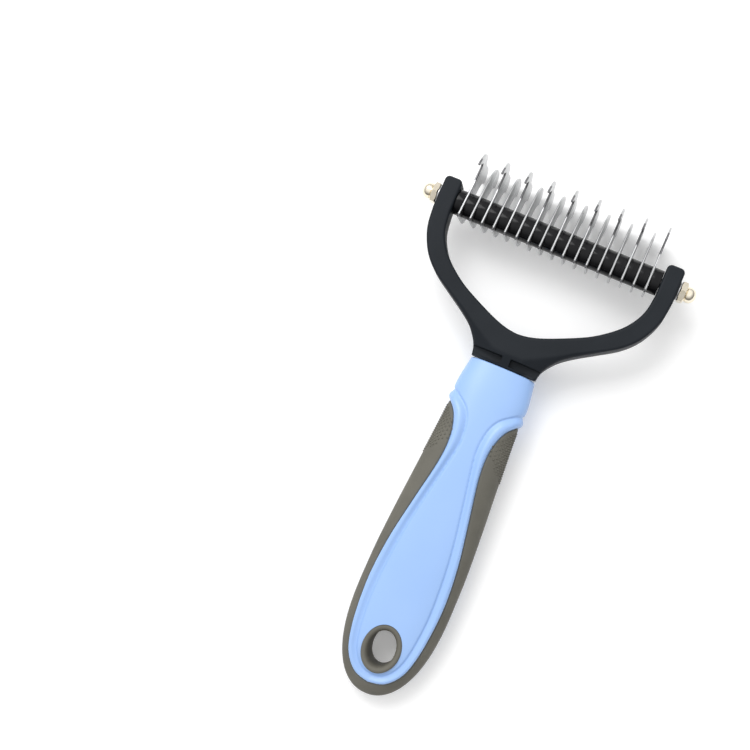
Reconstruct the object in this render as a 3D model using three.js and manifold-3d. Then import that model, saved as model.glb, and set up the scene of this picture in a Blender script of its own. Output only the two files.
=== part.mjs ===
// Undercoat rake: a two-sided row of hooked blades clamped on a rod between the arms of a fork,
// with a two-material handle. Millimetres. X runs along the rod, +Y from the butt of the handle
// to the teeth, +Z from the back to the front. The origin is at the bottom centre of the rake
// lying on its back. Every shape below is drawn in the head's frame, whose origin is the middle
// of the rod, and one group moves it all to the rake's own origin.
import * as THREE from "three";
import { mergeVertices } from "three/addons/utils/BufferGeometryUtils.js";
import Module from "manifold-3d";

const wasm = await Module();
wasm.setup();

// Blades and spacers
const LONG_BLADES = 9;
const SHORT_BLADES = LONG_BLADES - 1;
const BLADES = LONG_BLADES + SHORT_BLADES;
const BLADE_PITCH = 4.63;
const BLADE_THICK = 0.8;
const PACK_SHIFT = -0.35;
const LONG_TIP_Y = 20.7;
const BACK_CLAW_Z = -17.9;
const SPACER_RADIUS = 4.9;
const FACE_GAP = 0.05;
const TURN_GAP = 0.15;

// Rod, washers and cap nuts
const ROD_RADIUS = 1.95;
const BORE_RADIUS = 2.2;
const WASHER_RADIUS = 3.5;
const WASHER_THICK = 0.5;
const NUT_ACROSS_FLATS = 7.4;
const NUT_HEX_HEIGHT = 2.5;
const NUT_NECK_HEIGHT = 1.3;
const NUT_DOME_RADIUS = 3.05;
const NUT_DOME_HEIGHT = 2.6;
const NUT_BORE_DEPTH = 4.0;
const ROD_IN_NUT = 3.6;

// Fork
const ARM_INNER_X = 41;
const ARM_OUTER_X = 47.8;
const ARM_TOP_Y = 7.3;
const ARM_CORNER = 1.8;
const FORK_HALF_THICK = 5;
const FORK_CHAMFER = 0.8;
const CROTCH_Y = -38.1;
const NECK_END_Y = -51.3;
const NECK_HALF_WIDTH = 12.7;
const SLOT_LENGTH = 11.4;
const SLOT_WIDTH = 2.3;
const SLOT_DEPTH = 2.1;
const SLOT_FROM_END = 0.8;
const TANG_HALF_WIDTH = 7;
const TANG_LENGTH = 36;
const TANG_LOW_Z = -3.4;
const TANG_HIGH_Z = 0.6;

// Handle
const JOINT_GAP = 0.3;
const COLLAR_TOP_Y = NECK_END_Y - JOINT_GAP;
const BUTT_Y = -179.8;
const BUTT_START_Y = -140;
const HANDLE_MID_Z = -2.5;
const HANDLE_HALF_WIDTH = 18;
const HANDLE_HALF_THICK = 8;
const SECTION_POWER = 2.5;
const SKIN_THICK = 2.2;
const CORE_GAP = 0.3;
const HOLE_Y = -162;
const HOLE_HALF_WIDTH = 5.1;
const HOLE_HALF_LENGTH = 6.7;
const RING_WALL = 2.2;
const RING_HALF_HEIGHT = 8;

const MIDDLE_Y = (LONG_TIP_Y + BUTT_Y) / 2;
const LOWEST_Z = BACK_CLAW_Z;

const STEEL = new THREE.MeshStandardMaterial({ color: 0xb9bcc0, roughness: 0.32, metalness: 1 });
const NICKEL = new THREE.MeshStandardMaterial({ color: 0xcdbf9d, roughness: 0.18, metalness: 1 });
const BLACK_MATTE = new THREE.MeshStandardMaterial({ color: 0x2d3037, roughness: 0.6, metalness: 0 });
const BLACK_GLOSS = new THREE.MeshStandardMaterial({ color: 0x0e0e12, roughness: 0.15, metalness: 0 });
const SKY_BLUE = new THREE.MeshStandardMaterial({ color: 0xa6cffd, roughness: 0.4, metalness: 0 });
const GREY_RUBBER = new THREE.MeshStandardMaterial({ color: 0x6e6a61, roughness: 0.8, metalness: 0 });

// A closed geometry as a solid that can be joined and cut.
function toSolid(geometry) {
  const bare = geometry.clone();
  bare.deleteAttribute("normal");
  bare.deleteAttribute("uv");
  const merged = mergeVertices(bare, 1e-4);
  return new wasm.Manifold(
    new wasm.Mesh({
      numProp: 3,
      vertProperties: new Float32Array(merged.attributes.position.array),
      triVerts: new Uint32Array(merged.index.array),
    }),
  );
}

function toGeometry(solid) {
  const mesh = solid.getMesh();
  const geometry = new THREE.BufferGeometry();
  geometry.setAttribute("position", new THREE.BufferAttribute(mesh.vertProperties, 3));
  geometry.setIndex(new THREE.BufferAttribute(mesh.triVerts, 1));
  geometry.computeVertexNormals();
  return geometry;
}

function named(name, geometry, material) {
  const mesh = new THREE.Mesh(geometry, material);
  mesh.name = name;
  return mesh;
}

const point = (x, y) => new THREE.Vector2(x, y);

// Points along a smooth curve through the given points.
function smooth(points, divisions) {
  return new THREE.SplineCurve(points).getPoints(divisions);
}

// Points on an arc, angles in degrees from the first axis.
function arc(cx, cy, radius, from, to, steps) {
  return Array.from({ length: steps + 1 }, (_, i) => {
    const a = THREE.MathUtils.degToRad(from + ((to - from) * i) / steps);
    return point(cx + radius * Math.cos(a), cy + radius * Math.sin(a));
  });
}

// A half outline and its mirror image, joined into one closed outline.
function mirrored(half) {
  const other = half
    .filter((p) => Math.abs(p.x) > 1e-6)
    .map((p) => point(-p.x, p.y))
    .reverse();
  return [...half, ...other];
}

// A flat outline made into a prism along Z, from one height to another.
function prism(outline, low, high, chamfer = 0) {
  const geometry = new THREE.ExtrudeGeometry(new THREE.Shape(outline), {
    depth: high - low - 2 * chamfer,
    bevelEnabled: chamfer > 0,
    bevelSize: chamfer,
    bevelOffset: -chamfer,
    bevelThickness: chamfer,
    bevelSegments: 1,
    curveSegments: 12,
  });
  return geometry.translate(0, 0, low + chamfer);
}

// A solid round bar along X, centred on the rod's axis.
function roundAlongX(radius, from, to, sides = 20) {
  const geometry = new THREE.CylinderGeometry(radius, radius, to - from, sides);
  return geometry.rotateZ(-Math.PI / 2).translate((from + to) / 2, 0, 0);
}

function block(x0, x1, y0, y1, z0, z1) {
  const geometry = new THREE.BoxGeometry(x1 - x0, y1 - y0, z1 - z0);
  return geometry.translate((x0 + x1) / 2, (y0 + y1) / 2, (z0 + z1) / 2);
}

// The blade outlines are drawn with the first number towards the teeth's tips, away from the
// handle, and the second towards the front of the rake.

// The spur behind the rod on the handle side, and the foot of the straight front edge.
function spurAndFoot() {
  const spur = smooth([point(-2.4, -12.6), point(-4.5, -11.2), point(-5.6, -8.2)], 3);
  return [...spur, point(-6.5, 5.3), point(-6.1, 6.4), point(-5.3, 6.8), point(5.1, 3.8)];
}

// The front edge of a short blade, from the rod up to the back claw's crown.
function plainFront() {
  const shank = [point(8.5, 2.5), point(12, 0.9), point(14.8, -0.7)];
  return smooth([...shank, point(17.2, -3.2), point(18.8, -6.8), point(19.5, -9.8)], 8);
}

// The front edge of a long blade, the barb that hooks forwards, and the tip above it.
function frontClaw() {
  const shank = [point(8.5, 3.1), point(12, 2.5), point(15.4, 1.9)];
  const barb = [point(16.4, 2.5), ...smooth([point(13.9, 8.3), point(14.1, 9.2), point(15, 9.2)], 3)];
  const tip = smooth([point(19.5, 5.2), point(20.4, 2.8), point(LONG_TIP_Y, 0.2), point(20.2, -2.6)], 6);
  return [...shank, ...barb, ...tip, point(18.8, -5.2), point(19.2, -8.6)];
}

// The back claw, from its crown round the hook and along the plate's hollow back edge.
function backClaw() {
  const crown = [point(19.6, -11.6), point(19.5, -14), point(18.6, -16.2), point(17.2, -17.5)];
  const hook = smooth([point(15.6, BACK_CLAW_Z), point(14.3, -17.6), point(13.9, -16.4)], 3);
  const hollow = [point(13, -14.2), point(11.3, -12), point(8.4, -10.3), point(4.6, -9.9)];
  return [...smooth(crown, 5), ...hook, ...smooth([...hollow, point(1.2, -10.8)], 7)];
}

// A plate cut to an outline, bored for the rod, standing across the X axis.
function bladeGeometry(isLong) {
  const outline = [...spurAndFoot(), ...(isLong ? frontClaw() : plainFront()), ...backClaw()];
  const shape = new THREE.Shape(outline.reverse());
  shape.holes.push(new THREE.Path(arc(0, 0, BORE_RADIUS, 360, 24, 14)));
  const geometry = new THREE.ExtrudeGeometry(shape, { depth: BLADE_THICK, bevelEnabled: false });
  const turn = new THREE.Matrix4().makeBasis(
    new THREE.Vector3(0, 1, 0),
    new THREE.Vector3(0, 0, 1),
    new THREE.Vector3(1, 0, 0),
  );
  return geometry.translate(0, 0, -BLADE_THICK / 2).applyMatrix4(turn);
}

const bladeX = (index) => PACK_SHIFT + (index - (BLADES - 1) / 2) * BLADE_PITCH;

function blades() {
  const group = new THREE.Group();
  for (let i = 0; i < BLADES; i += 1) {
    const isLong = i % 2 === 0;
    const number = Math.floor(i / 2) + 1;
    const name = `${isLong ? "blade_long" : "blade_short"}_${number}`;
    const blade = named(name, bladeGeometry(isLong), STEEL);
    blade.position.x = bladeX(i);
    group.add(blade);
  }
  return group;
}

// A tube along X between two faces.
function spacerGeometry(length) {
  const shape = new THREE.Shape(arc(0, 0, SPACER_RADIUS, 0, 340, 17));
  shape.holes.push(new THREE.Path(arc(0, 0, BORE_RADIUS, 360, 30, 11)));
  const geometry = new THREE.ExtrudeGeometry(shape, { depth: length, bevelEnabled: false });
  return geometry.translate(0, 0, -length / 2).rotateY(Math.PI / 2);
}

// One spacer beside every blade: the end ones reach from the outer blades to the fork's arms.
function spacers() {
  const group = new THREE.Group();
  const faces = [-ARM_INNER_X + TURN_GAP - FACE_GAP];
  for (let i = 0; i < BLADES; i += 1) {
    faces.push(bladeX(i) - BLADE_THICK / 2, bladeX(i) + BLADE_THICK / 2);
  }
  faces.push(ARM_INNER_X - TURN_GAP + FACE_GAP);
  for (let i = 0; i <= BLADES; i += 1) {
    const from = faces[2 * i] + FACE_GAP;
    const to = faces[2 * i + 1] - FACE_GAP;
    const spacer = named(`spacer_${i + 1}`, spacerGeometry(to - from), BLACK_GLOSS);
    spacer.position.x = (from + to) / 2;
    group.add(spacer);
  }
  return group;
}

function rod() {
  const half = ARM_OUTER_X + TURN_GAP + WASHER_THICK + ROD_IN_NUT;
  return named("threaded_rod", roundAlongX(ROD_RADIUS, -half, half), STEEL);
}

function washer(name, side) {
  const inner = ARM_OUTER_X + TURN_GAP;
  const plate = toSolid(roundAlongX(WASHER_RADIUS, inner, inner + WASHER_THICK, 24));
  const bored = plate.subtract(toSolid(roundAlongX(BORE_RADIUS, 0, 2 * ARM_OUTER_X)));
  const mesh = named(name, toGeometry(bored), STEEL);
  mesh.rotation.z = side < 0 ? Math.PI : 0;
  return mesh;
}

// A cap nut: a hexagon with a dome over its outer end, bored blind from the inner end.
function capNut(name, side) {
  const inner = ARM_OUTER_X + TURN_GAP + WASHER_THICK + FACE_GAP;
  const shoulder = inner + NUT_HEX_HEIGHT;
  const hexagon = roundAlongX(NUT_ACROSS_FLATS / Math.sqrt(3), inner, shoulder, 6);
  const profile = [point(0, -1), point(NUT_DOME_RADIUS, -1)];
  for (let step = 0; step <= 5; step += 1) {
    const a = (step / 5) * (Math.PI / 2);
    const radius = step === 5 ? 0 : NUT_DOME_RADIUS * Math.cos(a);
    profile.push(point(radius, NUT_NECK_HEIGHT + NUT_DOME_HEIGHT * Math.sin(a)));
  }
  const dome = new THREE.LatheGeometry(profile, 18).rotateZ(-Math.PI / 2).translate(shoulder, 0, 0);
  const bore = roundAlongX(BORE_RADIUS, inner - 1, inner + NUT_BORE_DEPTH);
  const solid = toSolid(hexagon).add(toSolid(dome)).subtract(toSolid(bore));
  const mesh = named(name, toGeometry(solid), NICKEL);
  mesh.rotation.z = side < 0 ? Math.PI : 0;
  return mesh;
}

// The fork's outer edge, from the top of the right arm down to the neck.
function forkOuterEdge() {
  const bend = [point(ARM_OUTER_X, -6), point(46.9, -13), point(44.8, -18.8), point(41.6, -24)];
  const under = [point(36.9, -28.6), point(30.6, -32.8), point(23.6, -37.3)];
  const shoulder = [point(18.6, -41), point(15.4, -44.6)];
  const neck = [point(13.5, -47.9), point(NECK_HALF_WIDTH, NECK_END_Y)];
  return smooth([...bend, ...under, ...shoulder, ...neck], 22);
}

// The fork's inner edge, from the crotch up to the inside of the right arm.
function forkInnerEdge() {
  const crotch = [point(0, CROTCH_Y), point(4.6, -37.5), point(11, -35.4), point(21.8, -30.5)];
  const bend = [point(28.2, -26.7), point(34.2, -21.7), point(37.8, -17), point(40, -12)];
  return smooth([...crotch, ...bend, point(ARM_INNER_X, -5)], 20);
}

function forkOutline() {
  const top = [
    ...arc(ARM_INNER_X + ARM_CORNER, ARM_TOP_Y - ARM_CORNER, ARM_CORNER, 180, 90, 3),
    ...arc(ARM_OUTER_X - ARM_CORNER, ARM_TOP_Y - ARM_CORNER, ARM_CORNER, 90, 0, 3),
  ];
  const right = [...forkInnerEdge(), ...top, ...forkOuterEdge()];
  const left = right.slice(1).map((p) => point(-p.x, p.y)).reverse();
  return [...right, ...left];
}

function fork() {
  let solid = toSolid(prism(forkOutline(), -FORK_HALF_THICK, FORK_HALF_THICK, FORK_CHAMFER));
  solid = solid.subtract(toSolid(roundAlongX(BORE_RADIUS, -60, 60)));
  const slotHigh = NECK_END_Y + SLOT_FROM_END + SLOT_WIDTH;
  const slotEnd = NECK_HALF_WIDTH + 3;
  for (const side of [-1, 1]) {
    for (const face of [-1, 1]) {
      const xs = [side * (NECK_HALF_WIDTH - SLOT_LENGTH), side * slotEnd];
      const zs = [face * (FORK_HALF_THICK - SLOT_DEPTH), face * (FORK_HALF_THICK + 1)];
      xs.sort((a, b) => a - b);
      zs.sort((a, b) => a - b);
      const slot = block(xs[0], xs[1], slotHigh - SLOT_WIDTH, slotHigh, zs[0], zs[1]);
      solid = solid.subtract(toSolid(slot));
    }
  }
  const tang = block(
    -TANG_HALF_WIDTH,
    TANG_HALF_WIDTH,
    NECK_END_Y - TANG_LENGTH,
    NECK_END_Y + 1,
    TANG_LOW_Z,
    TANG_HIGH_Z,
  );
  return named("fork", toGeometry(solid.add(toSolid(tang))), BLACK_MATTE);
}

// A value that follows a list of [y, value] pairs smoothly, for y between the first and the last.
function along(pairs, y) {
  let i = 0;
  while (i < pairs.length - 2 && y < pairs[i + 1][0]) i += 1;
  const before = pairs[Math.max(i - 1, 0)];
  const [y0, v0] = pairs[i];
  const [y1, v1] = pairs[i + 1];
  const after = pairs[Math.min(i + 2, pairs.length - 1)];
  const slope0 = (v1 - before[1]) / (y1 - before[0]);
  const slope1 = (after[1] - v0) / (after[0] - y0);
  const s = (y - y0) / (y1 - y0);
  const run = y1 - y0;
  const startPart = (2 * s ** 3 - 3 * s ** 2 + 1) * v0 + (s ** 3 - 2 * s ** 2 + s) * run * slope0;
  const endPart = (3 * s ** 2 - 2 * s ** 3) * v1 + (s ** 3 - s ** 2) * run * slope1;
  return startPart + endPart;
}

const WIDTH_ALONG = [
  [COLLAR_TOP_Y, 12.7],
  [-62, 14.2],
  [-70, 13.9],
  [-86, 14.9],
  [-111, 16.8],
  [-128, 17.8],
  [BUTT_START_Y, HANDLE_HALF_WIDTH],
];
const THICK_ALONG = [
  [COLLAR_TOP_Y, 5.9],
  [-66, 6.7],
  [-90, 7.5],
  [-118, 7.95],
  [BUTT_START_Y, HANDLE_HALF_THICK],
];

// One ring of the handle's surface: a superellipse whose size follows the handle's length.
// The share runs from 0 where the butt starts to round off to 1 at its very end.
function handleRing(y, share, inset) {
  const width = share > 0 ? HANDLE_HALF_WIDTH * (1 - share ** 2.6) ** 0.476 : along(WIDTH_ALONG, y);
  const thick = share > 0 ? HANDLE_HALF_THICK * (1 - share ** 4) ** 0.5 : along(THICK_ALONG, y);
  const sides = 28;
  return Array.from({ length: sides }, (_, i) => {
    const a = (2 * Math.PI * i) / sides;
    const c = Math.cos(a);
    const s = Math.sin(a);
    const x = Math.sign(c) * Math.abs(c) ** (2 / SECTION_POWER) * (width - inset);
    const z = Math.sign(s) * Math.abs(s) ** (2 / SECTION_POWER) * (thick - inset);
    return new THREE.Vector3(x, y, z + HANDLE_MID_Z);
  });
}

// The handle's whole form, or the same form a given distance further in.
function handleForm(inset) {
  const rings = [];
  const bodySteps = 12;
  for (let i = 0; i <= bodySteps; i += 1) {
    const y = COLLAR_TOP_Y + ((BUTT_START_Y - COLLAR_TOP_Y) * i) / bodySteps;
    rings.push(handleRing(y, 0, inset));
  }
  const buttLength = BUTT_START_Y - BUTT_Y;
  const buttSteps = 8;
  for (let i = 1; i < buttSteps; i += 1) {
    const share = Math.sin((i / buttSteps) * (Math.PI / 2));
    rings.push(handleRing(BUTT_START_Y - (buttLength - inset) * share, share, inset * (1 - share)));
  }
  const first = new THREE.Vector3(0, COLLAR_TOP_Y, HANDLE_MID_Z);
  const last = new THREE.Vector3(0, BUTT_Y + inset, HANDLE_MID_Z);
  return closedLoft(rings, first, last);
}

// A closed surface over a row of rings, with a point in the middle of each end.
function closedLoft(rings, first, last) {
  const sides = rings[0].length;
  const vertices = [...rings.flat(), first, last].flatMap((v) => [v.x, v.y, v.z]);
  const firstIndex = rings.length * sides;
  const index = [];
  for (let i = 0; i < sides; i += 1) {
    const j = (i + 1) % sides;
    index.push(firstIndex, j, i);
    for (let r = 0; r < rings.length - 1; r += 1) {
      const a = r * sides + i;
      const b = r * sides + j;
      index.push(a, b, b + sides, a, b + sides, a + sides);
    }
    const end = (rings.length - 1) * sides;
    index.push(end + i, end + j, firstIndex + 1);
  }
  const geometry = new THREE.BufferGeometry();
  geometry.setAttribute("position", new THREE.Float32BufferAttribute(vertices, 3));
  geometry.setIndex(index);
  return geometry;
}

// The edge of the blue panel, from the outside of the collar round the waist to the butt.
function panelEdge() {
  const flare = [point(13.7, -69.8), point(10.1, -74.2), point(7.9, -81.8), point(8.1, -92)];
  const belly = [point(11.2, -109), point(13.8, -124), point(15, -138), point(14.6, -150)];
  const low = [point(13.2, -160.5), point(10.7, -168.2)];
  return smooth([...flare, ...belly, ...low, point(6, -173.4), point(0, -175.1)], 30);
}

// The panel's edge moved outwards, so that the grip keeps a gap to it.
function movedOut(edge, distance) {
  return edge.map((p, i) => {
    const before = edge[Math.max(i - 1, 0)];
    const after = edge[Math.min(i + 1, edge.length - 1)];
    const way = after.clone().sub(before).normalize();
    const x = i === edge.length - 1 ? 0 : p.x - way.y * distance;
    return point(x, p.y + way.x * distance - (i === edge.length - 1 ? distance : 0));
  });
}

// Everything inside the panel's edge, and the whole collar above it, as a prism.
function panelPrism(gap) {
  const edge = panelEdge();
  const moved = gap > 0 ? movedOut(edge, gap) : edge;
  const wide = HANDLE_HALF_WIDTH + 4;
  const half = [point(wide, COLLAR_TOP_Y + 5), point(wide, edge[0].y + 1 - gap), ...moved];
  return toSolid(prism(mirrored(half), HANDLE_MID_Z - 12, HANDLE_MID_Z + 12));
}

function oval(halfWidth, halfLength, steps) {
  return arc(0, 0, 1, 0, 360 - 360 / steps, steps - 1).map((p) =>
    point(p.x * halfWidth, HOLE_Y + p.y * halfLength),
  );
}

// The handle's hard core: the panel and collar at full size, and under the grip a thinner form.
function handleCore() {
  const spare = 0.3;
  const pocket = block(
    -TANG_HALF_WIDTH - spare,
    TANG_HALF_WIDTH + spare,
    NECK_END_Y - TANG_LENGTH - spare,
    COLLAR_TOP_Y + 1,
    TANG_LOW_Z - spare,
    TANG_HIGH_Z + spare,
  );
  const hole = oval(HOLE_HALF_WIDTH + RING_WALL + spare, HOLE_HALF_LENGTH + RING_WALL + spare, 28);
  const solid = toSolid(handleForm(0))
    .intersect(panelPrism(0))
    .add(toSolid(handleForm(SKIN_THICK)))
    .subtract(toSolid(pocket))
    .subtract(toSolid(prism(hole, HANDLE_MID_Z - 12, HANDLE_MID_Z + 12)));
  return named("handle_core", toGeometry(solid), SKY_BLUE);
}

// The rubber moulded over the sides and the butt of the core.
function gripOvermould() {
  const solid = toSolid(handleForm(0))
    .subtract(panelPrism(CORE_GAP))
    .subtract(toSolid(handleForm(SKIN_THICK - CORE_GAP)));
  return named("grip_overmould", toGeometry(solid), GREY_RUBBER);
}

// The rubber lining of the hanging hole.
function hangRing() {
  const outline = oval(HOLE_HALF_WIDTH + RING_WALL, HOLE_HALF_LENGTH + RING_WALL, 28);
  const shape = new THREE.Shape(outline);
  shape.holes.push(new THREE.Path(oval(HOLE_HALF_WIDTH, HOLE_HALF_LENGTH, 28).reverse()));
  const depth = 2 * RING_HALF_HEIGHT;
  const geometry = new THREE.ExtrudeGeometry(shape, { depth, bevelEnabled: false });
  return named("hang_ring", geometry.translate(0, 0, HANDLE_MID_Z - RING_HALF_HEIGHT), GREY_RUBBER);
}

const rake = new THREE.Group();
rake.add(fork(), handleCore(), gripOvermould(), hangRing());
rake.add(rod(), blades(), spacers());
rake.add(washer("washer_left", -1), washer("washer_right", 1));
rake.add(capNut("cap_nut_left", -1), capNut("cap_nut_right", 1));
rake.position.set(0, -MIDDLE_Y, -LOWEST_Z);

const root = new THREE.Group();
root.add(rake);
export default root;
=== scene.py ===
"""Undercoat rake for Blender: a fork that holds a row of hooked blades, and a two-material handle.

Shapes are drawn in millimetres in the head's frame: its origin is the middle of the blade rod,
X runs along the rod, +Y from the handle to the teeth and +Z from the back to the front.
"""
import math

import bmesh
import bpy
import numpy as np
from mathutils import Euler, Matrix, Vector


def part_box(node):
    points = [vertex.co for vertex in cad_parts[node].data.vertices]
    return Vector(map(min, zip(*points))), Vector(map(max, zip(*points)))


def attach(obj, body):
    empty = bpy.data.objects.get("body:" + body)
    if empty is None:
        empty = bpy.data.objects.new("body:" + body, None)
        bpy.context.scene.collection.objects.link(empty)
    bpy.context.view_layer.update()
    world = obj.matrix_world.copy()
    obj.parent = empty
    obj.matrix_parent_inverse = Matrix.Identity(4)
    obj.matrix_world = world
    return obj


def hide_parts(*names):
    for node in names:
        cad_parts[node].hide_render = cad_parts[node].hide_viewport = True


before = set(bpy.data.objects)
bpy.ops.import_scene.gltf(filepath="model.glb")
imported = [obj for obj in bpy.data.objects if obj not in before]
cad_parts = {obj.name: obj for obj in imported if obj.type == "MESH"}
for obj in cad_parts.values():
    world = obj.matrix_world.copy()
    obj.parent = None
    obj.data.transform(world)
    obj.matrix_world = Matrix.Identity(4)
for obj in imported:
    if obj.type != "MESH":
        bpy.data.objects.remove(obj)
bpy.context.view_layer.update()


def middle(node):
    low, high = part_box(node)
    return [(a + b) / 2 for a, b in zip(low, high)]


MM = 0.001
_, ROD_Y, ROD_Z = middle("threaded_rod")
HEAD_TO_ROW = Matrix.Translation((0, ROD_Y, ROD_Z)) @ Matrix.Scale(MM, 4)


def limits(node):
    """The lowest and highest corners of a CAD node, in millimetres in the head's frame."""
    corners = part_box(node)
    origin = (0, ROD_Y, ROD_Z)
    return [[(c[i] - origin[i]) / MM for i in range(3)] for c in corners]


# Sizes that the frame gives
ARM_OUTER_X = limits("fork")[1][0]
ARM_TOP_Y = limits("fork")[1][1]
FORK_HALF_THICK = limits("fork")[1][2]
TANG_END_Y = limits("fork")[0][1]
COLLAR_TOP_Y = limits("handle_core")[1][1]
BUTT_Y = limits("grip_overmould")[0][1]
LONG_TIP_Y = limits("blade_long_1")[1][1]
CLAW_BACK_Z = limits("blade_long_1")[0][2]
RING_BACK_Z = limits("hang_ring")[0][2]
RING_FRONT_Z = limits("hang_ring")[1][2]

# Blades
BORE_RADIUS = 2.2
FINE = 0.2
# Bevels wider than this take the darker steel, which is partly ground finish and partly painted shade
GROUND_AND_SHADE_EDGE = 0.22
KEEN_EDGE = 0.06
BEVEL_SLOPE = 0.9

# Fork
ARM_INNER_X = 41.0
ARM_CORNER = 1.8
NECK_END_Y = COLLAR_TOP_Y + 0.3
NECK_HALF_WIDTH = 12.7
FORK_ROUND = 0.9
FLANK_SLOPE = 0.5
FLANK_REACH = 6
RIDGE_ROUND = 0.2
NECK_ROWS = 26
TANG_HALF_WIDTH = 7.0
TANG_Z = (-3.4, 0.6)
SLOT_X = (1.6, 16.0)
SLOT_Y = (NECK_END_Y + 0.8, NECK_END_Y + 3.7)
SLOT_FLOOR_Z = 1.0
SLOT_CORNER = 0.35

# Handle
HANDLE_MID_Z = (RING_BACK_Z + RING_FRONT_Z) / 2
HANDLE_HALF_WIDTH = 18.0
HANDLE_HALF_THICK = 8.0
BUTT_START_Y = -140.0
SECTION_POWER = 2.5
PANEL_END_Y = -175.1
EDGE_STEPS = 240
BEAD_HEIGHT = 0.85
GROOVE_DEPTH = 0.45
GROOVE_WIDTH = 1.6
EDGE_DROP = 0.5
GRIP_ROUND = 0.75
SKIN = 1.3
HOLE_Y = middle("hang_ring")[1] / MM - ROD_Y / MM
HOLE_HALF = (5.1, 6.7)
RING_WALL = 2.2
STIPPLE_PITCH = 1.0
STIPPLE_DOME = (0.4, 0.4, 0.32, 1)
STIPPLE_TOP_Y = -71.8
STIPPLE_MID_Y = -81
STIPPLE_HALF = (10, 6.7)

# Small parts
SPACER_RADIUS = 4.9
ROD_RADIUS = 1.95
THREAD_PITCH = 0.7
WASHER_RADIUS = 3.5
NUT_ACROSS_FLATS = 7.4
NUT_HEX_HEIGHT = 2.5
NUT_TOP_CHAMFER = 0.35
NUT_BASE_CHAMFER = 0.1

# Stage
FLOOR_GLOW = 0.19
FLOOR_GAP = 0.2 * MM
SKY_TOP = (-0.20, 0.30, 0.93)
SKY_RISE = {"From Min": 0.1, "From Max": 0.8, "To Min": 0.25, "To Max": 1.15}


# ---------------------------------------------------------------- curves

def smooth(points, steps):
    """Points along a Catmull-Rom curve through the given points."""
    p = np.array(points, float)
    p = np.vstack([p[0], p, p[-1]])
    out = []
    for s in np.linspace(0, len(points) - 1, steps + 1):
        i = min(int(s), len(points) - 2)
        t = s - i
        a, b, c, d = p[i : i + 4]
        v0, v1 = (c - a) / 2, (d - b) / 2
        out.append((2 * b - 2 * c + v0 + v1) * t**3 + (3 * c - 3 * b - 2 * v0 - v1) * t**2 + v0 * t + b)
    return np.array(out)


def arc(radius, start, end, steps, centre=(0.0, 0.0)):
    a = np.radians(np.linspace(start, end, steps + 1))
    return np.stack([centre[0] + radius * np.cos(a), centre[1] + radius * np.sin(a)], 1)


def along(pairs, y):
    """A value that follows a list of (y, value) pairs smoothly; the pairs run towards the butt."""
    i = 0
    while i < len(pairs) - 2 and y < pairs[i + 1][0]:
        i += 1
    before, after = pairs[max(i - 1, 0)], pairs[min(i + 2, len(pairs) - 1)]
    (y0, v0), (y1, v1) = pairs[i], pairs[i + 1]
    run = y1 - y0
    slope0 = (v1 - before[1]) / (y1 - before[0])
    slope1 = (after[1] - v0) / (after[0] - y0)
    s = (y - y0) / run
    start = (2 * s**3 - 3 * s**2 + 1) * v0 + (s**3 - 2 * s**2 + s) * run * slope0
    return start + (3 * s**2 - 2 * s**3) * v1 + (s**3 - s**2) * run * slope1


def distance_to(line, xy):
    """The distance from each point to a polyline."""
    best = np.full(len(xy), 1e9)
    for a, b in zip(line[:-1], line[1:]):
        way = b - a
        share = np.clip(((xy - a) @ way) / (way @ way), 0, 1)
        best = np.minimum(best, np.linalg.norm(xy - a - share[:, None] * way, axis=1))
    return best


def ease(x):
    x = np.clip(x, 0, 1)
    return x * x * (3 - 2 * x)


# ---------------------------------------------------------------- meshes

def new_object(name, verts, faces, materials=(), material_index=None):
    """A mesh object, still in millimetres in the head's frame, with its faces turned outwards."""
    mesh = bpy.data.meshes.new(name)
    mesh.from_pydata([tuple(map(float, v)) for v in verts], [], [tuple(f) for f in faces])
    for material in materials:
        mesh.materials.append(material)
    if material_index is not None:
        mesh.polygons.foreach_set("material_index", material_index)
    obj = bpy.data.objects.new(name, mesh)
    bpy.context.scene.collection.objects.link(obj)
    clean(mesh)
    return obj


def clean(mesh, merge=1e-4):
    bm = bmesh.new()
    bm.from_mesh(mesh)
    bmesh.ops.remove_doubles(bm, verts=bm.verts, dist=merge)
    bmesh.ops.dissolve_degenerate(bm, dist=merge, edges=bm.edges)
    bmesh.ops.recalc_face_normals(bm, faces=bm.faces)
    bm.to_mesh(mesh)
    bm.free()


def apply_modifiers(obj):
    depsgraph = bpy.context.evaluated_depsgraph_get()
    mesh = bpy.data.meshes.new_from_object(obj.evaluated_get(depsgraph), depsgraph=depsgraph)
    obj.modifiers.clear()
    obj.data = mesh


def cut(obj, *cutters):
    for cutter in cutters:
        modifier = obj.modifiers.new("cut", "BOOLEAN")
        modifier.operation = "DIFFERENCE"
        modifier.solver = "EXACT"
        modifier.object = cutter
    apply_modifiers(obj)
    for cutter in cutters:
        bpy.data.objects.remove(cutter)


def join(name, *objects):
    """Several closed bodies as one object, the first one's materials kept."""
    bm = bmesh.new()
    for o in objects:
        bm.from_mesh(o.data)
    mesh = bpy.data.meshes.new(name)
    bm.to_mesh(mesh)
    bm.free()
    for material in objects[0].data.materials:
        mesh.materials.append(material)
    for o in objects:
        bpy.data.objects.remove(o)
    obj = bpy.data.objects.new(name, mesh)
    bpy.context.scene.collection.objects.link(obj)
    return obj


def finish_piece(obj, body, nodes, sharp=35):
    """Puts a finished piece in the row frame, in metres, hangs it under its body and hides the CAD nodes
    it stands for.
    """
    mesh = obj.data
    mesh.transform(HEAD_TO_ROW)
    mesh.polygons.foreach_set("use_smooth", [True] * len(mesh.polygons))
    mesh.set_sharp_from_angle(angle=math.radians(sharp))
    mesh.update()
    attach(obj, body)
    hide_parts(*nodes)


def grid_faces(rows, columns, closed=False, first=0):
    faces = []
    for r in range(rows - 1):
        for c in range(columns if closed else columns - 1):
            d = (c + 1) % columns
            a, b = first + r * columns, first + (r + 1) * columns
            faces.append((a + c, a + d, b + d, b + c))
    return faces


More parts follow.
